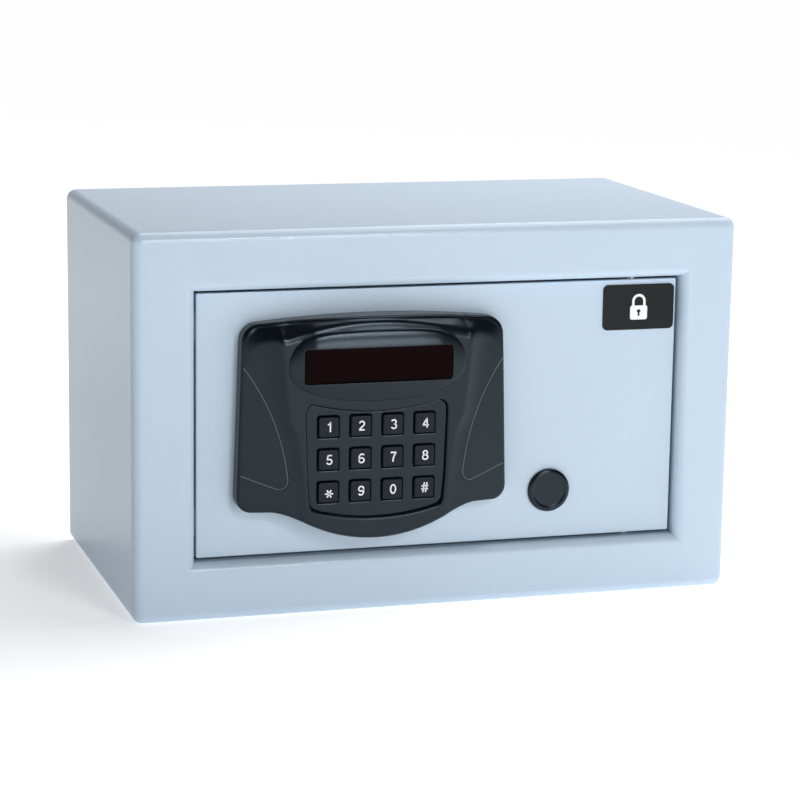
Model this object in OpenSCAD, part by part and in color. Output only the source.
// Electronic in-room safe for a hotel: a folded steel cabinet with an inset,
// right-hinged door. The door carries a moulded control panel with a display and
// twelve keys, two motor-driven locking bolts, and an emergency lock under a cap.
//
// Axes: X to the right seen from the front, Y to the back, Z up. The origin is at the
// bottom centre of the whole safe. The sub-parts are drawn from a front datum: there
// y = 0 is the front face of the cabinet and y grows to the back.

/* [Cabinet] */
// Outside width of the cabinet
body_w = 310; // [306:1:320]
// Outside height of the cabinet
body_h = 192; // [190:1:198]
// Depth of the cabinet from its front face to its back
body_d = 175; // [170:1:200]
// Thickness of the cabinet's steel sheet
sheet = 2; // [1.8:0.1:2.2]
// Outer radius of the cabinet's bends
bend_r = 5; // [4.5:0.5:6]
// Depth of the folded lip round the door opening
lip_depth = 19; // [18:0.5:19.5]
// Diameter of the anchor holes in the base and the back
anchor_d = 10; // [8:0.5:12]
// Distance between the two anchor holes of each pair
anchor_pitch = 200; // [160:5:220]

/* [Door] */
// Width of the door opening
open_w = 251; // [250:0.5:252]
// Height of the door opening
open_h = 133.8; // [133:0.2:135]
// Sideways offset of the door opening towards the hinge
open_shift = 1.25; // [0:0.25:2]
// Gap between the door plate and the lip
door_gap = 1.5; // [1.4:0.1:1.6]
// Distance from the cabinet's front face back to the door's face
door_recess = 6; // [5.5:0.5:6.5]
// Thickness of the door plate
door_t = 4; // [4:0.5:4]
// Depth of the pan behind the door plate
pan_depth = 30; // [30:0.5:31]
// Distance from the door plate's hinge edge to the pivot
pivot_inset = 22; // [21:0.5:23]
// Diameter of the hinge pins
pin_d = 6; // [5:0.5:6]

/* [Control panel] */
// Distance of the panel's centre line from the cabinet's centre line
panel_x = -35.5; // [-37:0.5:-34]
// How far the panel's hood stands in front of the cabinet
proud = 12; // [11.5:0.5:13]
// Side length of a key
key_size = 10.2; // [9.6:0.2:10.4]
// Distance between key centres
key_pitch = 16.3; // [16:0.1:16.5]
// Travel of a key
key_travel = 1.2; // [0.8:0.1:1.2]

/* [Bolt work] */
// Diameter of the locking bolts
bolt_d = 16; // [14:1:16]
// Travel of the locking bolts
bolt_travel = 16; // [12:1:16]
// Distance between the two locking bolts
bolt_pitch = 60; // [56:1:64]
// Module of the drive gear
gear_module = 0.8; // [0.8:0.1:0.8]
// Number of teeth on the drive gear
gear_teeth = 16; // [16:1:16]

/* [Hidden] */
$fn = 48;

// Colours
shell_grey = [0.78, 0.81, 0.84];
panel_black = [0.12, 0.13, 0.15];
key_black = [0.07, 0.07, 0.08];
steel = [0.72, 0.73, 0.74];
zinc = [0.62, 0.63, 0.60];
board_green = [0.10, 0.35, 0.20];

// Clearances
slack = 0.3;
running = 0.05;
eps = 0.01;

// Datum: the origin is midway between the hood and the back of the cabinet
front_y = -(body_d + proud) / 2 + proud;
mid_z = body_h / 2;

// Cabinet
back_t = sheet;
shell_end = body_d - back_t;
flare_steps = 8;
anchor_base_y = 115;
anchor_back_z = mid_z;
mat_t = 2;
mat_margin = 4;
mat_hole_r = 8;

// Door
plate_w = open_w - 2 * door_gap;
plate_h = open_h - 2 * door_gap;
plate_r = 1.5;
face_y = door_recess;
door_back_y = door_recess + door_t;
plate_left = open_shift - plate_w / 2;
plate_right = open_shift + plate_w / 2;
pan_wall = 1.5;
pan_left = plate_left + 6;
pan_right = plate_right - 3;
pan_w = pan_right - pan_left;
pan_x = (pan_left + pan_right) / 2;
pan_h = plate_h - 5;
pan_r = 3;
pan_end = door_back_y + pan_depth;
pan_flange = 8;
pan_top = mid_z + pan_h / 2;

// Hinge
pivot = [plate_right - pivot_inset, door_recess + 7.2];
pin_r = pin_d / 2;
lip_outer_z = open_h / 2 + sheet;
bracket_t = 4;
bracket_half_w = 12;
washer_r = 6;
washer_mouth = 2;
shoulder_r = 4.5;
shoulder_flat = pivot[1] - door_back_y - 0.1;
shoulder_len = 8;
pin_tail = 3;

// Stops behind the free edge of the door
stop_w = 4.5;
stop_t = 2;
stop_h = 14;
stop_z = [mid_z - 48, mid_z + 48];

// Inner cover
cover_t = 1.2;
cover_inset = 1;
cover_y = [pan_end, pan_end + cover_t];
cover_screw_x = [pan_left + 6, pan_x, pan_right - 6];
cover_screw_z = [mid_z - pan_h / 2 + 5, mid_z + pan_h / 2 - 5];
cover_screw_r = 1.5;

// Locking bolts
bolt_r = bolt_d / 2;
bolt_y = 28.5;
bolt_z = [mid_z - bolt_pitch / 2, mid_z + bolt_pitch / 2];
bolt_tip_x = pan_left - 0.45;
bolt_chamfer = 1.2;
bush_flange_r = bolt_r + 1.9;
bush_nose_r = bolt_r + 1.2;
bush_flange_t = 2.5;

// Carriage
carriage_y = [15, 17];
carriage_x0 = -88;
carriage_x1 = -42;
carriage_half_h = 46;
arm_x1 = 48;
arm_z = [82, 92];
flange_end_y = 38;
screw_r = 2.5;
stud_at = [[-74, mid_z - 36], [-74, mid_z + 36], [-14, 87]];
stud_neck_r = 3;
stud_base_r = 4.5;
stud_head_r = 5.2;

// Drive: the rack lies under the gear
pitch_r = gear_module * gear_teeth / 2;
gear_x = 22;
rack_y = [17, 20.6];
rack_line_z = 97;
rack_root = 1.25 * gear_module;
rack_addendum = 0.85 * gear_module;
backlash = 0.14;
centre_play = 0.05;
gear_z = rack_line_z + pitch_r + centre_play;
gear_y = [17.4, 20];
rack_teeth_left = 3;
rack_teeth_right = 9;
motor_r = 10;
motor_y = [23, 39];
motor_plate_y = [21.5, 23];
shaft_r = 1.5;
motor_screw_x = 8.5;

// Emergency lock
lock_at = [59.2, 55.2];
lock_hole_r = 9.5;
lock_barrel_r = 8.5;
lock_flange_r = 15.5;
lock_front_y = 8.6;
lock_end_y = 34;
plug_r = 5;
cam_y = [35.2, 37.2];
cam_len = 15;
cap_r = 11;
cap_y = [3.7, 5.7];
cap_skirt_end = 8.3;

// Control panel: heights and half widths are measured from the panel's centre line
panel_top_z = mid_z + 53.9;
panel_top_r = 560;
panel_top_half = 66.5;
panel_bottom_half = 69;
panel_top_corner_r = 9;
panel_bottom_corner_r = 7;
panel_bottom_z = mid_z - 42;
chin_half = 28.5;
chin_r = 74;
chin_z = mid_z - 56.7;
chin_blend_half = 54;
wall_y = -2.6;
wing_inner_y = -8;
central_y = -9;
hood_y = -proud;
cavity_y = 1;
central_cavity_y = -7;
skin = 2.2;

// Display
window_w = 75;
window_h = 17;
window_z = mid_z + 30.5;
window_y = [-10.5, -8.5];
module_y = [-8.2, -0.6];
module_w = 66;
module_h = 14;

// Keypad
keys_top_z = mid_z;
keypad_y = [-7.4, -5.4];
key_face_y = -8.4;
key_flange_y = [-5.1, -4.3];
key_flange = key_size + 1.6;
key_hole = key_size + 2 * slack;
mat_y = [-1.8, -0.6];
dome_top_y = key_flange_y[1] + key_travel + slack;
board_y = [-0.6, 1];
board_w = 66;
board_z = [52, 138];
boss_at = [[-58, 134], [58, 134], [-58, 80], [58, 80]];
boss_r = 4;
boss_bore_r = 1.5;
cable_hole_r = 7;
cable_at = [panel_x, mid_z + 8];

// Badge
badge_w = 38;
badge_h = 23;
badge_at = [plate_right - badge_w / 2 - 1.2, mid_z + plate_h / 2 - badge_h / 2 - 2.5];
badge_t = 1;

// Main board and its switch
main_board_x = [50, 98];
main_board_z = [78, 148];
main_board_y = [24, 25.6];
standoff_inset = 5;
chips = [[62, 76, 100, 114, 2.4], [58, 70, 122, 130, 5]];
capacitors = [[86, 108, 5, 9], [86, 94, 4, 9]];
reset_at = [86, 139];
reset_r = 3.4;
reset_travel = 1.2;
reset_switch_y = 33;
reset_switch_half = 3;
reset_gap = 0.4;
reset_flange_y = [36.4, 37.6];
reset_proud = 1.5;

// Microswitches: each has a body and a plunger towards the bolt work
switch_plunger = 1;
extended_switch_z = [87.5, 94];
extended_switch_y = [14, 20];
retracted_switch_z = [90, 102];
retracted_switch_y = [20, 26];

// Batteries
cell_r = 7.1;
cell_len = 50.5;
cell_pitch = 14.7;
cell_y = 31;
cells = 4;
box_x = [-67, -5];
box_y = [22, 39.7];
box_wall = 1.6;
box_half_h = cells * cell_pitch / 2 + box_wall;
box_z = mid_z - 2;
lid_w = box_x[1] - box_x[0] - 3;
lid_h = 2 * box_half_h - 3;
lid_proud = 1.4;

// ---------------------------------------------------------------- helpers

// Puts the front datum in its place
module from_front() {
    translate([0, front_y, 0])
        children();
}

// A box between two limits on each axis
module box(x, y, z) {
    translate([x[0], y[0], z[0]])
        cube([x[1] - x[0], y[1] - y[0], z[1] - z[0]]);
}

// A drawing in X and Z, given depth along Y
module along_y(y) {
    translate([0, y[1], 0])
        rotate([90, 0, 0])
            linear_extrude(height = y[1] - y[0])
                children();
}

// A drawing in Y and Z, given width along X
module along_x(x) {
    translate([x[0], 0, 0])
        rotate([90, 0, 90])
            linear_extrude(height = x[1] - x[0])
                children();
}

// Round bars along each axis
module rod_x(r, x, at) {
    translate([x[0], at[0], at[1]])
        rotate([0, 90, 0])
            cylinder(r = r, h = x[1] - x[0]);
}

module rod_y(r, y, at) {
    translate([at[0], y[1], at[1]])
        rotate([90, 0, 0])
            cylinder(r = r, h = y[1] - y[0]);
}

module rod_z(r, z, at) {
    translate([at[0], at[1], z[0]])
        cylinder(r = r, h = z[1] - z[0]);
}

// A centred rectangle with round corners
module rounded(w, h, r) {
    square([w - 2 * r, h], center = true);
    square([w, h - 2 * r], center = true);
    for (sx = [-1, 1], sz = [-1, 1])
        translate([sx * (w / 2 - r), sz * (h / 2 - r)])
            circle(r = r);
}

// A rounded plate facing the front, centred at a place in X and Z
module plate(w, h, r, y, at) {
    along_y(y)
        translate(at)
            rounded(w, h, r);
}

// A straight slot in X between two end centres
module slot_y(r, x, z, y) {
    rod_y(r, y, [x[0], z]);
    rod_y(r, y, [x[1], z]);
    box(x, y, [z - r, z + r]);
}

// A pan-head screw whose head is towards the back; y is under the head
module screw_y(at, y, len, r = 1.5) {
    rod_y(r, [y - len, y], at);
    difference() {
        rod_y(2 * r, [y, y + 1.3 * r], at);
        box([at[0] - 1.5 * r, at[0] + 1.5 * r], [y + 0.7 * r, y + 2 * r], [at[1] - 0.3, at[1] + 0.3]);
        box([at[0] - 0.3, at[0] + 0.3], [y + 0.7 * r, y + 2 * r], [at[1] - 1.5 * r, at[1] + 1.5 * r]);
    }
}

// Points of an arc in degrees, the ends included
function arc(c, r, a0, a1, steps) =
    [for (i = [0:steps]) let (a = a0 + (a1 - a0) * i / steps) [c[0] + r * cos(a), c[1] + r * sin(a)]];

// The same points on the other side of the centre line, in reverse order
function mirrored(points) =
    [for (i = [len(points) - 1:-1:0]) [-points[i][0], points[i][1]]];

// ---------------------------------------------------------------- cabinet

// A block whose edges are rounded, except those of its back end
module folded_block(inset, r, y) {
    w = body_w - 2 * inset;
    h = body_h - 2 * inset;
    intersection() {
        plate(w, h, r, y, [0, mid_z]);
        translate([0, 0, inset])
            linear_extrude(height = h)
                front_rounded(w, r, y);
        rotate([0, 90, 0])
            translate([-mid_z, 0, -w / 2])
                linear_extrude(height = w)
                    front_rounded(h, r, y);
    }
}

// The outline of a folded front, seen across its depth
module front_rounded(w, r, y) {
    translate([-w / 2, y[0] + r])
        square([w, y[1] - y[0] - r]);
    translate([-w / 2 + r, y[0]])
        square([w - 2 * r, r + eps]);
    for (s = [-1, 1])
        translate([s * (w / 2 - r), y[0] + r])
            circle(r = r);
}

// Half of the slot whose mouth flares round a bend, as points of half width and depth
function flare(half, r, y_end) = concat(
    [[half + bend_r, bend_r - r - eps]],
    [for (i = [0:flare_steps])
        let (a = 90 * i / flare_steps)
            [half + bend_r - r * sin(a), bend_r - r * cos(a)]],
    [[half + bend_r - r, y_end]]);

// A rectangular opening with mitred, rounded edges
module flared_opening(r, y_end) {
    side = flare(open_w / 2, r, y_end);
    head = flare(open_h / 2, r, y_end);
    translate([open_shift, 0, mid_z])
        intersection() {
            translate([0, 0, -body_h / 2])
                linear_extrude(height = body_h)
                    polygon(concat(side, mirrored(side)));
            rotate([0, 90, 0])
                translate([0, 0, -body_w / 2])
                    linear_extrude(height = body_w)
                        polygon(concat(head, mirrored(head)));
        }
}

module cabinet_shell() {
    color(shell_grey)
        from_front()
            difference() {
                union() {
                    difference() {
                        folded_block(0, bend_r, [0, shell_end]);
                        folded_block(sheet, bend_r - sheet, [sheet, body_d]);
                    }
                    flared_opening(bend_r - sheet, lip_depth);
                }
                flared_opening(bend_r, lip_depth + 1);
                rod_z(pin_r + slack, [mid_z - lip_outer_z - 1, mid_z + lip_outer_z + 1], pivot);
                for (s = [-1, 1])
                    rod_z(anchor_d / 2, [-1, sheet + 1], [s * anchor_pitch / 2, anchor_base_y]);
            }
}

module back_panel() {
    color(shell_grey)
        from_front()
            difference() {
                plate(body_w, body_h, bend_r, [shell_end, body_d], [0, mid_z]);
                for (s = [-1, 1])
                    rod_y(anchor_d / 2, [shell_end - 1, body_d + 1], [s * anchor_pitch / 2, anchor_back_z]);
            }
}

// A bearing plate on the hidden side of the lip; side is 1 above the door, -1 below
module hinge_bracket(side) {
    inner = mid_z + side * lip_outer_z;
    outer = inner + side * bracket_t;
    color(zinc)
        from_front()
            difference() {
                box([pivot[0] - bracket_half_w, pivot[0] + bracket_half_w],
                    [bend_r + slack, lip_depth],
                    [min(inner, outer), max(inner, outer)]);
                rod_z(pin_r + running, [min(inner, outer) - 1, max(inner, outer) + 1], pivot);
            }
}

module door_stops() {
    lip_x = open_shift - open_w / 2;
    color(shell_grey)
        from_front()
            for (z = stop_z)
                box([lip_x, lip_x + stop_w],
                    [door_back_y + slack, door_back_y + slack + stop_t],
                    [z - stop_h / 2, z + stop_h / 2]);
}

module floor_mat() {
    half_w = body_w / 2 - sheet - mat_margin;
    color([0.20, 0.22, 0.25])
        from_front()
            difference() {
                box([-half_w, half_w], [sheet + mat_margin, shell_end - mat_margin], [sheet, sheet + mat_t]);
                for (s = [-1, 1])
                    rod_z(mat_hole_r, [sheet - 1, sheet + mat_t + 1], [s * anchor_pitch / 2, anchor_base_y]);
            }
}

// ---------------------------------------------------------------- door

module door_plate() {
    color(shell_grey)
        from_front()
            difference() {
                plate(plate_w, plate_h, plate_r, [face_y, door_back_y], [open_shift, mid_z]);
                rod_y(lock_hole_r, [face_y - 1, door_back_y + 1], lock_at);
                rod_y(cable_hole_r, [face_y - 1, door_back_y + 1], cable_at);
                for (at = boss_at)
                    rod_y(boss_bore_r + slack, [face_y - 1, door_back_y + 1], [panel_x + at[0], at[1]]);
            }
}

module door_pan() {
    color(shell_grey)
        from_front()
            difference() {
                plate(pan_w, pan_h, pan_r, [door_back_y, pan_end], [pan_x, mid_z]);
                plate(pan_w - 2 * pan_wall, pan_h - 2 * pan_wall, pan_r - pan_wall,
                    [door_back_y - 1, pan_end - pan_wall], [pan_x, mid_z]);
                plate(pan_w - 2 * pan_flange, pan_h - 2 * pan_flange, pan_r,
                    [door_back_y, pan_end + 1], [pan_x, mid_z]);
                rod_z(pin_r, [mid_z - pan_h / 2 - 1, pan_top + 1], pivot);
                for (z = bolt_z)
                    rod_x(bush_nose_r, [pan_left - 1, pan_left + pan_wall + 1], [bolt_y, z]);
                for (x = cover_screw_x, z = cover_screw_z)
                    rod_y(cover_screw_r, [pan_end - pan_wall - 1, pan_end + 1], [x, z]);
            }
}

// A pin pressed into the pan's wall; side is 1 above the door, -1 below
module hinge_pin(side) {
    wall = pan_h / 2 - pan_wall;
    tip = lip_outer_z + bracket_t + pin_tail;
    color(steel)
        from_front()
            translate([pivot[0], pivot[1], mid_z])
                mirror([0, 0, side > 0 ? 0 : 1]) {
                    difference() {
                        translate([0, 0, wall - shoulder_len])
                            cylinder(r = shoulder_r, h = shoulder_len);
                        box([-shoulder_r - 1, shoulder_r + 1], [-shoulder_r - 1, -shoulder_flat],
                            [wall - shoulder_len - 1, wall + 1]);
                    }
                    translate([0, 0, wall])
                        cylinder(r = pin_r, h = tip - wall - 1);
                    translate([0, 0, tip - 1])
                        cylinder(r1 = pin_r, r2 = pin_r - 1, h = 1);
                }
}

// Clip washers, open towards the door plate
module hinge_washers() {
    color([0.10, 0.10, 0.11])
        from_front()
            for (side = [-1, 1])
                translate([pivot[0], pivot[1], mid_z])
                    mirror([0, 0, side > 0 ? 0 : 1])
                        translate([0, 0, pan_h / 2])
                            difference() {
                                cylinder(r = washer_r, h = open_h / 2 - pan_h / 2 - slack);
                                translate([0, 0, -1])
                                    cylinder(r = pin_r, h = open_h);
                                box([-washer_r - 1, washer_r + 1], [-washer_r - 1, -washer_mouth], [-1, open_h]);
                            }
}

module inner_cover() {
    color(shell_grey)
        from_front()
            difference() {
                plate(pan_w - 2 * cover_inset, pan_h - 2 * cover_inset, pan_r, cover_y, [pan_x, mid_z]);
                plate(lid_w + 2 * slack, lid_h + 2 * slack, 2, [cover_y[0] - 1, cover_y[1] + 1],
                    [(box_x[0] + box_x[1]) / 2, box_z]);
                rod_y(reset_r + slack, [cover_y[0] - 1, cover_y[1] + 1], reset_at);
                for (x = cover_screw_x, z = cover_screw_z)
                    rod_y(cover_screw_r, [cover_y[0] - 1, cover_y[1] + 1], [x, z]);
            }
}

module inner_cover_screws() {
    color(zinc)
        from_front()
            for (x = cover_screw_x, z = cover_screw_z)
                screw_y([x, z], cover_y[1], 4, cover_screw_r);
}

// ---------------------------------------------------------------- control panel

// Height of the panel's lower edge at a distance from the centre line
function chin(x) =
    let (a = abs(x), span = chin_blend_half - chin_half, t = (a - chin_half) / span)
    a <= chin_half
        ? chin_z + chin_r - sqrt(chin_r * chin_r - a * a)
        : let (z0 = chin(chin_half), slope = chin_half / sqrt(chin_r * chin_r - chin_half * chin_half))
            z0 * (1 + t * t * (2 * t - 3))
                + span * slope * t * (1 - t) * (1 - t)
                + panel_bottom_z * t * t * (3 - 2 * t);

// Height of the panel's upper edge at a distance from the centre line
function brow(x) = panel_top_z - panel_top_r + sqrt(panel_top_r * panel_top_r - x * x);

// Right half of the outline, from the bottom centre to the top centre, inset all round
function half_outline(inset) =
    let (
        low = panel_bottom_half - inset,
        high = panel_top_half - inset,
        r0 = panel_bottom_corner_r,
        r1 = panel_top_corner_r
    )
    concat(
        [for (x = [0:6:chin_blend_half]) [x, chin(x) + inset]],
        arc([low - r0, panel_bottom_z + inset + r0], r0, -90, 0, 6),
        arc([high - r1, brow(high - r1) - inset - r1], r1, 0, 84, 6),
        [for (x = [48:-8:8]) [x, brow(x) - inset]]);

module panel_outline(inset) {
    half = half_outline(inset);
    translate([panel_x, 0])
        polygon(concat(half, mirrored(half)));
}

// The raised middle of the panel, between its arched top edge and the chin
function half_central(inset) = concat(
    [for (x = [0:6:30]) [x, chin(x) + inset + 0.6]],
    [
        [35.5 - inset, 50 + inset], [36.8 - inset, 68], [40 - inset, 90],
        [44 - inset, 101], [46 - inset, 119], [47.5 - inset, 142.8 - inset]
    ],
    [for (x = [40:-8:0]) [x, central_top(x) - inset]]);

function central_top(x) = mid_z + 53.3 - 165 + sqrt(165 * 165 - x * x);

module central_outline(inset) {
    half = half_central(inset);
    translate([panel_x, 0])
        polygon(concat(half, mirrored(half)));
}

// The convex frame round the display
function half_hood() = concat(
    arc([0, 108.2 + 150], 150, -90, -78, 4),
    arc([34.8, 124.5], 10, -55, 30, 5),
    arc([30.8, 129.5], 14, 35, 88, 5));

module hood_outline() {
    half = half_hood();
    translate([panel_x, 0])
        polygon(concat(half, mirrored(half)));
}

// The seam that bounds a side cover; side is 1 on the right, -1 on the left
function seam(gap) =
    let (edge = panel_bottom_half + 4)
    concat(
        [[edge, 136.3 - gap]],
        arc([155.7, 59.9], 112 - gap, 143, 175, 8),
        arc([48.2 + gap, 69.3 + gap], 4, 184, 290, 4),
        [[edge, 74.4 + gap]]);

module cover_zone(side, gap) {
    translate([panel_x, 0])
        mirror([side > 0 ? 0 : 1, 0])
            polygon(seam(gap));
}

// The panel as one solid, before it is hollowed and divided
module panel_body() {
    along_y([wall_y, face_y])
        panel_outline(0);
    intersection() {
        along_y([wing_inner_y, wall_y])
            panel_outline(0);
        linear_extrude(height = body_h)
            translate([panel_x, 0])
                polygon([
                    [-panel_bottom_half, wall_y + 1], [-panel_bottom_half, wall_y],
                    [-40, wing_inner_y], [40, wing_inner_y],
                    [panel_bottom_half, wall_y], [panel_bottom_half, wall_y + 1]
                ]);
        along_x([panel_x - body_w / 2, panel_x + body_w / 2])
            polygon([[wall_y + 1, 0], [wall_y + 1, 150], [wall_y, 149], [wing_inner_y - 1, 141], [wing_inner_y - 1, 0]]);
    }
    along_y([central_y, wall_y])
        central_outline(0);
    along_y([hood_y, central_y])
        hood_outline();
}

module keypad_outline(gap) {
    w = 36 - gap;
    half = concat(
        arc([0, 50 + gap + 110], 110, -90, -74.5, 5),
        [[34 - gap, 57], [35 - gap, 70], [w, 104 - gap], [w - 3, 107.5 - gap]],
        arc([0, 103 - gap + 120], 120, -76, -90, 4));
    translate([panel_x, 0])
        polygon(concat(half, mirrored(half)));
}

module control_housing() {
    color(panel_black)
        from_front()
            difference() {
                union() {
                    difference() {
                        panel_body();
                        along_y([cavity_y, face_y + 1])
                            panel_outline(skin);
                        along_y([central_cavity_y, face_y])
                            central_outline(skin);
                    }
                    for (at = boss_at)
                        rod_y(boss_r, [cavity_y - eps, face_y], [panel_x + at[0], at[1]]);
                }
                for (at = boss_at)
                    rod_y(boss_bore_r, [cavity_y, face_y + 1], [panel_x + at[0], at[1]]);
                for (side = [-1, 1])
                    along_y([hood_y - 1, cavity_y - skin + slack])
                        cover_zone(side, 0);
                plate(window_w, window_h, 1.5, [hood_y - 1, central_cavity_y + 1], [panel_x, window_z]);
                along_y([central_y - 1, central_cavity_y + 2])
                    keypad_outline(0);
            }
}

module side_cover(side) {
    color(panel_black)
        from_front()
            intersection() {
                panel_body();
                along_y([hood_y, cavity_y - skin + slack])
                    cover_zone(side, slack);
            }
}

// Places its children at each key's centre
module at_keys() {
    for (row = [0:2], column = [0:3])
        translate([panel_x + (column - 1.5) * key_pitch, 0, keys_top_z - row * key_pitch])
            children();
}

module keypad_plate() {
    color(panel_black)
        from_front()
            difference() {
                along_y(keypad_y)
                    keypad_outline(slack / 2);
                at_keys()
                    plate(key_hole, key_hole, 0.9, [keypad_y[0] - 1, keypad_y[1] + 1], [0, 0]);
            }
}

module keypad_mat() {
    color([0.75, 0.75, 0.72])
        from_front() {
            box([panel_x - board_w / 2 + 1, panel_x + board_w / 2 - 1], mat_y,
                [keys_top_z - 2 * key_pitch - 9, keys_top_z + 9]);
            at_keys()
                rod_y(3, [dome_top_y, mat_y[0]], [0, 0]);
        }
}

module keypad_board() {
    color(board_green)
        from_front() {
            box([panel_x - board_w / 2, panel_x + board_w / 2], board_y, board_z);
            box([panel_x - 9, panel_x + 9], [board_y[1], 5], [cable_at[1] - 6, cable_at[1] + 6]);
        }
}

module display_window() {
    color([0.10, 0.02, 0.03])
        from_front()
            plate(window_w, window_h, 1.5, window_y, [panel_x, window_z]);
}

module display_module() {
    color([0.16, 0.15, 0.15])
        from_front()
            plate(module_w, module_h, 0.5, module_y, [panel_x, window_z]);
}

module panel_screws() {
    color(zinc)
        from_front()
            for (at = boss_at)
                screw_y([panel_x + at[0], at[1]], door_back_y, door_back_y - cavity_y - 1, boss_bore_r);
}

// One key: a cap that shows through the plate and a flange that holds it in
module key(index) {
    column = index % 4;
    row = floor(index / 4);
    color(key_black)
        from_front()
            translate([panel_x + (column - 1.5) * key_pitch, 0, keys_top_z - row * key_pitch]) {
                plate(key_size, key_size, 0.8, [key_face_y, key_flange_y[0]], [0, 0]);
                plate(key_flange, key_flange, 0.8, key_flange_y, [0, 0]);
            }
}

module badge() {
    color(key_black)
        from_front()
            plate(badge_w, badge_h, 2, [face_y - badge_t, face_y], badge_at);
}

// ---------------------------------------------------------------- emergency lock

module override_lock_body() {
    color(zinc)
        from_front()
            difference() {
                union() {
                    rod_y(lock_hole_r - 0.1, [lock_front_y, door_back_y], lock_at);
                    rod_y(lock_flange_r, [door_back_y, door_back_y + 2], lock_at);
                    rod_y(lock_barrel_r, [door_back_y + 2, lock_end_y], lock_at);
                }
                rod_y(plug_r + running, [lock_front_y - 1, lock_end_y + 1], lock_at);
                for (s = [-1, 1])
                    rod_y(1.5, [door_back_y - 1, door_back_y + 3], [lock_at[0] + s * 12.2, lock_at[1]]);
            }
}

module override_lock_screws() {
    color(steel)
        from_front()
            for (s = [-1, 1])
                screw_y([lock_at[0] + s * 12.2, lock_at[1]], door_back_y + 2, 2);
}

module override_plug() {
    color([0.80, 0.66, 0.36])
        from_front()
            difference() {
                union() {
                    rod_y(plug_r, [lock_front_y + 0.3, cam_y[0]], lock_at);
                    rod_y(3, [cam_y[0], cam_y[1] + 1], lock_at);
                }
                box([lock_at[0] - 0.7, lock_at[0] + 0.7], [lock_front_y, lock_front_y + 12],
                    [lock_at[1] - 3.6, lock_at[1] + 3.6]);
            }
}

module override_cam() {
    color(steel)
        from_front()
            difference() {
                union() {
                    rod_y(6, cam_y, lock_at);
                    box([lock_at[0] - cam_len, lock_at[0]], cam_y, [lock_at[1] - 4, lock_at[1] + 4]);
                }
                rod_y(3, [cam_y[0] - 1, cam_y[1] + 1], lock_at);
            }
}

module key_cap() {
    color(key_black)
        from_front()
            difference() {
                union() {
                    translate([lock_at[0], cap_y[0], lock_at[1]])
                        rotate([-90, 0, 0])
                            cylinder(r1 = cap_r - 1.2, r2 = cap_r, h = 1);
                    rod_y(cap_r, [cap_y[0] + 1, cap_y[1]], lock_at);
                    rod_y(lock_hole_r - slack, [cap_y[1], cap_skirt_end], lock_at);
                }
                rod_y(lock_hole_r - slack - 1.4, [cap_y[1] - 0.5, cap_skirt_end + 1], lock_at);
            }
}

// ---------------------------------------------------------------- bolt work

module bolt_bushes() {
    color([0.10, 0.10, 0.11])
        from_front()
            for (z = bolt_z)
                difference() {
                    union() {
                        rod_x(bush_nose_r, [pan_left, pan_left + pan_wall], [bolt_y, z]);
                        rod_x(bush_flange_r, [pan_left + pan_wall, pan_left + pan_wall + bush_flange_t],
                            [bolt_y, z]);
                    }
                    rod_x(bolt_r + slack, [pan_left - 1, pan_left + 8], [bolt_y, z]);
                }
}

module guide_studs() {
    color(steel)
        from_front()
            for (at = stud_at) {
                rod_y(stud_base_r, [door_back_y, carriage_y[0] - slack], at);
                rod_y(stud_neck_r, [carriage_y[0] - slack, carriage_y[1] + slack], at);
                rod_y(stud_head_r, [carriage_y[1] + slack, carriage_y[1] + slack + 1.4], at);
            }
}

module bolt_carriage() {
    color(zinc)
        from_front()
            difference() {
                union() {
                    box([carriage_x0, carriage_x1], carriage_y,
                        [mid_z - carriage_half_h, mid_z + carriage_half_h]);
                    box([carriage_x1 - eps, arm_x1], carriage_y, [arm_z[0], arm_z[1] + 4]);
                    box([carriage_x0, carriage_x0 + 2], [carriage_y[0], flange_end_y],
                        [mid_z - carriage_half_h, mid_z + carriage_half_h]);
                }
                for (at = stud_at)
                    slot_y(stud_neck_r + slack, [at[0], at[0] + bolt_travel], at[1],
                        [carriage_y[0] - 1, carriage_y[1] + 1]);
                for (z = bolt_z)
                    rod_x(screw_r, [carriage_x0 - 1, carriage_x0 + 3], [bolt_y, z]);
            }
}

// A steel bolt with a chamfered tip and a tapped hole in its inner end
module locking_bolt(index) {
    color(steel)
        from_front()
            difference() {
                union() {
                    translate([bolt_tip_x, bolt_y, bolt_z[index]])
                        rotate([0, 90, 0])
                            cylinder(r1 = bolt_r - bolt_chamfer, r2 = bolt_r, h = bolt_chamfer);
                    rod_x(bolt_r, [bolt_tip_x + bolt_chamfer, carriage_x0], [bolt_y, bolt_z[index]]);
                }
                rod_x(screw_r, [carriage_x0 - 12, carriage_x0 + 1], [bolt_y, bolt_z[index]]);
            }
}

module bolt_screws() {
    color(steel)
        from_front()
            for (z = bolt_z)
                difference() {
                    union() {
                        rod_x(screw_r, [carriage_x0 - 10, carriage_x0 + 2], [bolt_y, z]);
                        rod_x(4.5, [carriage_x0 + 2, carriage_x0 + 6], [bolt_y, z]);
                    }
                    translate([carriage_x0 + 4, bolt_y, z])
                        rotate([0, 90, 0])
                            cylinder(r = 2.3, h = 4, $fn = 6);
                }
}

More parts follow.
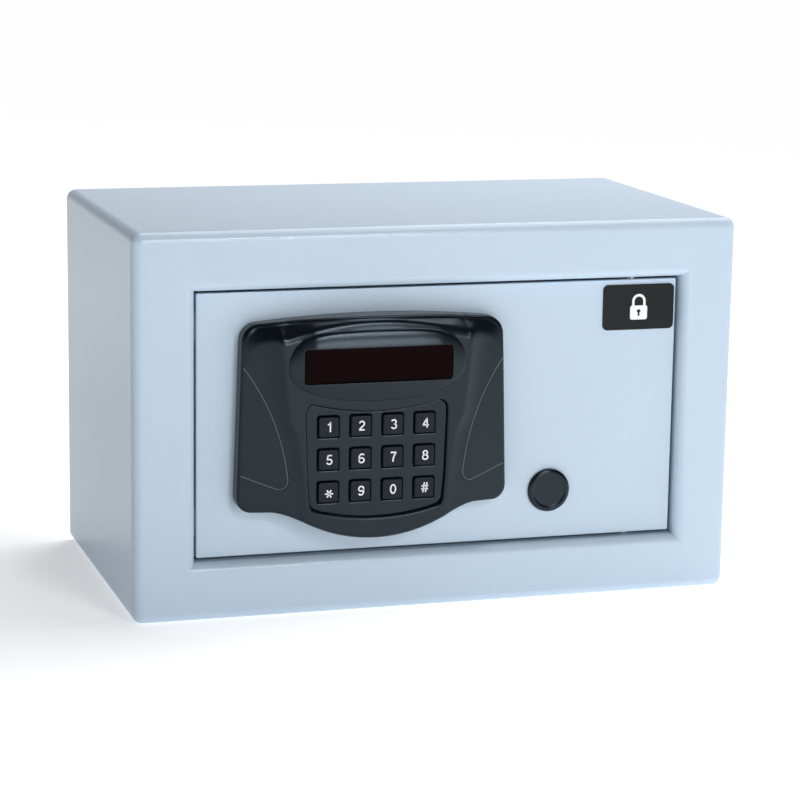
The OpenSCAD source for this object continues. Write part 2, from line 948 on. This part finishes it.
// Rack teeth stand up from the bar; a tooth is centred under the gear
module bolt_rack() {
    pitch = PI * gear_module;
    lean = tan(20);
    half = pitch / 4 - backlash / 2;
    root_z = rack_line_z - rack_root;
    tip_z = rack_line_z + rack_addendum;
    first = gear_x - rack_teeth_left * pitch;
    last = gear_x + rack_teeth_right * pitch;
    teeth = [for (i = [-rack_teeth_left:rack_teeth_right])
        let (x = gear_x + i * pitch)
            each [
                [x - half - lean * rack_root, root_z], [x - half + lean * rack_addendum, tip_z],
                [x + half - lean * rack_addendum, tip_z], [x + half + lean * rack_root, root_z]
            ]];
    color(steel)
        from_front()
            along_y(rack_y)
                polygon(concat([[first - 3, arm_z[1]], [first - 3, root_z]], teeth,
                    [[last + 3, root_z], [last + 3, arm_z[1]]]));
}

// Involute of the base circle at a roll angle in degrees
function involute(base, a) =
    let (k = a * PI / 180) [base * (cos(a) + k * sin(a)), base * (sin(a) - k * cos(a))];
function turned(p, a) = [p[0] * cos(a) - p[1] * sin(a), p[0] * sin(a) + p[1] * cos(a)];

// One tooth flank pair about an angle, from root to tip and back
function tooth(angle) =
    let (
        base = pitch_r * cos(20),
        tip = pitch_r + gear_module,
        root = pitch_r - 1.25 * gear_module,
        roll_tip = sqrt(tip * tip / (base * base) - 1) * 180 / PI,
        roll_pitch = tan(20) * 180 / PI,
        half = 90 / gear_teeth - backlash / 2 / pitch_r * 180 / PI / 2 + roll_pitch - 20,
        flank = [for (i = [0:4]) involute(base, roll_tip * i / 4)]
    )
    concat(
        [turned([root, 0], angle - half)],
        [for (p = flank) turned(p, angle - half)],
        [for (i = [4:-1:0]) turned([flank[i][0], -flank[i][1]], angle + half)],
        [turned([root, 0], angle + half)]);

module drive_pinion() {
    step = 360 / gear_teeth;
    outline = [for (i = [0:gear_teeth - 1]) each tooth(-90 + step / 2 + i * step)];
    color([0.80, 0.66, 0.36])
        from_front()
            translate([gear_x, 0, gear_z]) {
                along_y(gear_y)
                    polygon(outline);
                rod_y(shaft_r, [gear_y[1] - eps, motor_y[0] + 8], [0, 0]);
            }
}

module gear_motor() {
    color(steel)
        from_front()
            difference() {
                union() {
                    rod_y(motor_r, motor_y, [gear_x, gear_z]);
                    rod_y(3.5, [motor_plate_y[0], motor_y[0]], [gear_x, gear_z]);
                }
                rod_y(shaft_r + running, [motor_plate_y[0] - 1, motor_y[0] + 9], [gear_x, gear_z]);
                for (s = [-1, 1])
                    rod_y(1, [motor_y[0] - 1, motor_y[0] + 4], [gear_x + s * motor_screw_x, gear_z]);
            }
}

module motor_bracket() {
    x = [gear_x - 12, gear_x + 12];
    top = gear_z + 13;
    color(zinc)
        from_front()
            difference() {
                union() {
                    box(x, motor_plate_y, [gear_z - 7, top]);
                    box(x, [door_back_y, motor_plate_y[1]], [top, top + 1.5]);
                    box(x, [door_back_y, door_back_y + 1.5], [top, top + 11]);
                }
                rod_y(3.5, [motor_plate_y[0] - 1, motor_plate_y[1] + 1], [gear_x, gear_z]);
                for (s = [-1, 1]) {
                    rod_y(1, [motor_plate_y[0] - 1, motor_plate_y[1] + 1], [gear_x + s * motor_screw_x, gear_z]);
                    rod_y(1.5, [door_back_y - 1, door_back_y + 3], [gear_x + s * 7, top + 6.5]);
                }
            }
}

module motor_screws() {
    color(zinc)
        from_front()
            for (s = [-1, 1]) {
                rod_y(1, [motor_plate_y[0], motor_y[0] + 3], [gear_x + s * motor_screw_x, gear_z]);
                rod_y(1.8, [motor_plate_y[0] - 1, motor_plate_y[0]], [gear_x + s * motor_screw_x, gear_z]);
                screw_y([gear_x + s * 7, gear_z + 19.5], door_back_y + 1.5, 1.5);
            }
}

// ---------------------------------------------------------------- electronics

module main_board() {
    color(board_green)
        from_front() {
            box(main_board_x, main_board_y, main_board_z);
            for (x = [main_board_x[0] + standoff_inset, main_board_x[1] - standoff_inset],
                z = [main_board_z[0] + standoff_inset, main_board_z[1] - standoff_inset])
                rod_y(2.6, [door_back_y, main_board_y[0]], [x, z]);
            for (c = chips)
                box([c[0], c[1]], [main_board_y[1], main_board_y[1] + c[4]], [c[2], c[3]]);
            for (c = capacitors)
                rod_y(c[2], [main_board_y[1], main_board_y[1] + c[3]], [c[0], c[1]]);
            box([reset_at[0] - reset_switch_half, reset_at[0] + reset_switch_half],
                [main_board_y[1], reset_switch_y],
                [reset_at[1] - reset_switch_half, reset_at[1] + reset_switch_half]);
        }
}

module reset_button() {
    color([0.75, 0.08, 0.06])
        from_front() {
            rod_y(reset_r, [reset_switch_y + reset_travel + reset_gap, cover_y[1] + reset_proud], reset_at);
            rod_y(reset_r + 1.4, reset_flange_y, reset_at);
        }
}

// One beside the arm's end and one on the pan's wall, for the two ends of the travel
module microswitches() {
    arm_side = arm_x1 + 1;
    wall_side = pan_left + pan_wall;
    color([0.15, 0.15, 0.16])
        from_front() {
            box([arm_side + switch_plunger, arm_side + 13], extended_switch_y, extended_switch_z);
            rod_x(1, [arm_side, arm_side + switch_plunger],
                [carriage_y[0] + 1, (extended_switch_z[0] + extended_switch_z[1]) / 2]);
            box([wall_side, wall_side + 8], retracted_switch_y, retracted_switch_z);
            rod_x(1, [wall_side + 8, wall_side + 8 + switch_plunger],
                [(retracted_switch_y[0] + retracted_switch_y[1]) / 2, mid_z]);
        }
}

module ribbon_cable() {
    band = [cable_at[1] - 5, cable_at[1] + 5];
    x_end = main_board_x[0] + 18;
    color([0.60, 0.62, 0.64])
        from_front() {
            box([panel_x - 0.4, panel_x + 0.4], [5, 12], band);
            box([panel_x + 0.4, x_end], [11.2, 12], band);
            box([x_end, x_end + 0.8], [11.2, main_board_y[0]], band);
        }
}

// Route of the battery lead and of the motor lead, from their boxes to the main board
battery_lead = [
    [-4.9, 36, 118], [-1, 36, 118.3], [4, 36, 119.5], [20, 35, 123.5],
    [38, 32, 127.5], [50, 29, 128], [55.5, 28.2, 128], [57.9, 28.2, 128]
];
motor_lead = [
    [31.2, 34, 107.75], [34.1, 34, 109.1], [38, 33.5, 112], [43, 32.5, 115.5],
    [48, 31, 118.5], [52, 29.5, 121.5], [55.5, 28.2, 124], [57.9, 28.2, 124]
];
lead_r = 1;

// A ring of points about a route's point, square to the route
function ring(path, i) =
    let (
        a = path[max(i - 1, 0)],
        b = path[min(i + 1, len(path) - 1)],
        d = (b - a) / norm(b - a),
        s = cross(d, [0, 0, 1]) / norm(cross(d, [0, 0, 1])),
        u = cross(s, d)
    )
    [for (k = [0:7]) path[i] + lead_r * (cos(45 * k) * s + sin(45 * k) * u)];

module lead(path) {
    n = len(path);
    points = [for (i = [0:n - 1]) each ring(path, i)];
    walls = [for (i = [0:n - 2], k = [0:7])
        let (a = 8 * i + k, b = 8 * i + (k + 1) % 8)
            [a, b, b + 8, a + 8]];
    ends = [[for (k = [7:-1:0]) k], [for (k = [0:7]) 8 * (n - 1) + k]];
    polyhedron(points = points, faces = concat(walls, ends));
}

module wire_harness() {
    color([0.55, 0.08, 0.07])
        from_front() {
            lead(battery_lead);
            lead(motor_lead);
        }
}

module battery_box() {
    z = [box_z - box_half_h, box_z + box_half_h];
    color([0.13, 0.13, 0.14])
        from_front()
            difference() {
                box(box_x, box_y, z);
                box([box_x[0] + box_wall, box_x[1] - box_wall], [box_y[0] + box_wall, box_y[1] + 1],
                    [z[0] + box_wall, z[1] - box_wall]);
            }
}

module battery_contacts() {
    color(steel)
        from_front()
            for (i = [0:cells - 1]) {
                z = box_z + (i - (cells - 1) / 2) * cell_pitch;
                box([box_x[0] + box_wall, box_x[0] + box_wall + 0.5], [25, 37], [z - 5, z + 5]);
                box([box_x[1] - box_wall - 0.5, box_x[1] - box_wall], [25, 37], [z - 5, z + 5]);
                rod_x(3, [box_x[0] + box_wall + 0.5, (box_x[0] + box_x[1] - cell_len) / 2], [cell_y, z]);
            }
}

module batteries() {
    mid = (box_x[0] + box_x[1]) / 2;
    color([0.20, 0.24, 0.30])
        from_front()
            for (i = [0:cells - 1]) {
                z = box_z + (i - (cells - 1) / 2) * cell_pitch;
                rod_x(cell_r, [mid - cell_len / 2, mid + cell_len / 2 - 1], [cell_y, z]);
                rod_x(2.7, [mid + cell_len / 2 - 1, mid + cell_len / 2], [cell_y, z]);
            }
}

module battery_cover() {
    at = [(box_x[0] + box_x[1]) / 2, box_z];
    color([0.13, 0.13, 0.14])
        from_front() {
            plate(lid_w, lid_h, 1.7, [cover_y[0] + slack, cover_y[1] + lid_proud], at);
            for (i = [-2:2])
                box([at[0] - 12, at[0] + 12], [cover_y[1] + lid_proud, cover_y[1] + lid_proud + 0.6],
                    [at[1] + 18 + i * 2.4 - 0.5, at[1] + 18 + i * 2.4 + 0.5]);
        }
}

// ---------------------------------------------------------------- nodes

cabinet_shell();
back_panel();
hinge_bracket(1);  // hinge_bracket_upper
hinge_bracket(-1);  // hinge_bracket_lower
door_stops();
floor_mat();
door_plate();
door_pan();
hinge_pin(1);  // hinge_pin_upper
hinge_pin(-1);  // hinge_pin_lower
hinge_washers();
inner_cover();
inner_cover_screws();
control_housing();
side_cover(-1);  // side_cover_left
side_cover(1);  // side_cover_right
keypad_plate();
keypad_mat();
keypad_board();
display_window();
display_module();
panel_screws();
badge();
override_lock_body();
override_lock_screws();
gear_motor();
motor_bracket();
motor_screws();
guide_studs();
bolt_bushes();
main_board();
microswitches();
ribbon_cable();
wire_harness();
battery_box();
battery_contacts();
batteries();
bolt_carriage();
bolt_rack();
locking_bolt(1);  // locking_bolt_upper
locking_bolt(0);  // locking_bolt_lower
bolt_screws();
drive_pinion();
override_plug();
override_cam();
key_cap();
battery_cover();
reset_button();
key(0);  // key_1
key(1);  // key_2
key(2);  // key_3
key(3);  // key_4
key(4);  // key_5
key(5);  // key_6
key(6);  // key_7
key(7);  // key_8
key(8);  // key_star
key(9);  // key_9
key(10);  // key_0
key(11);  // key_hash
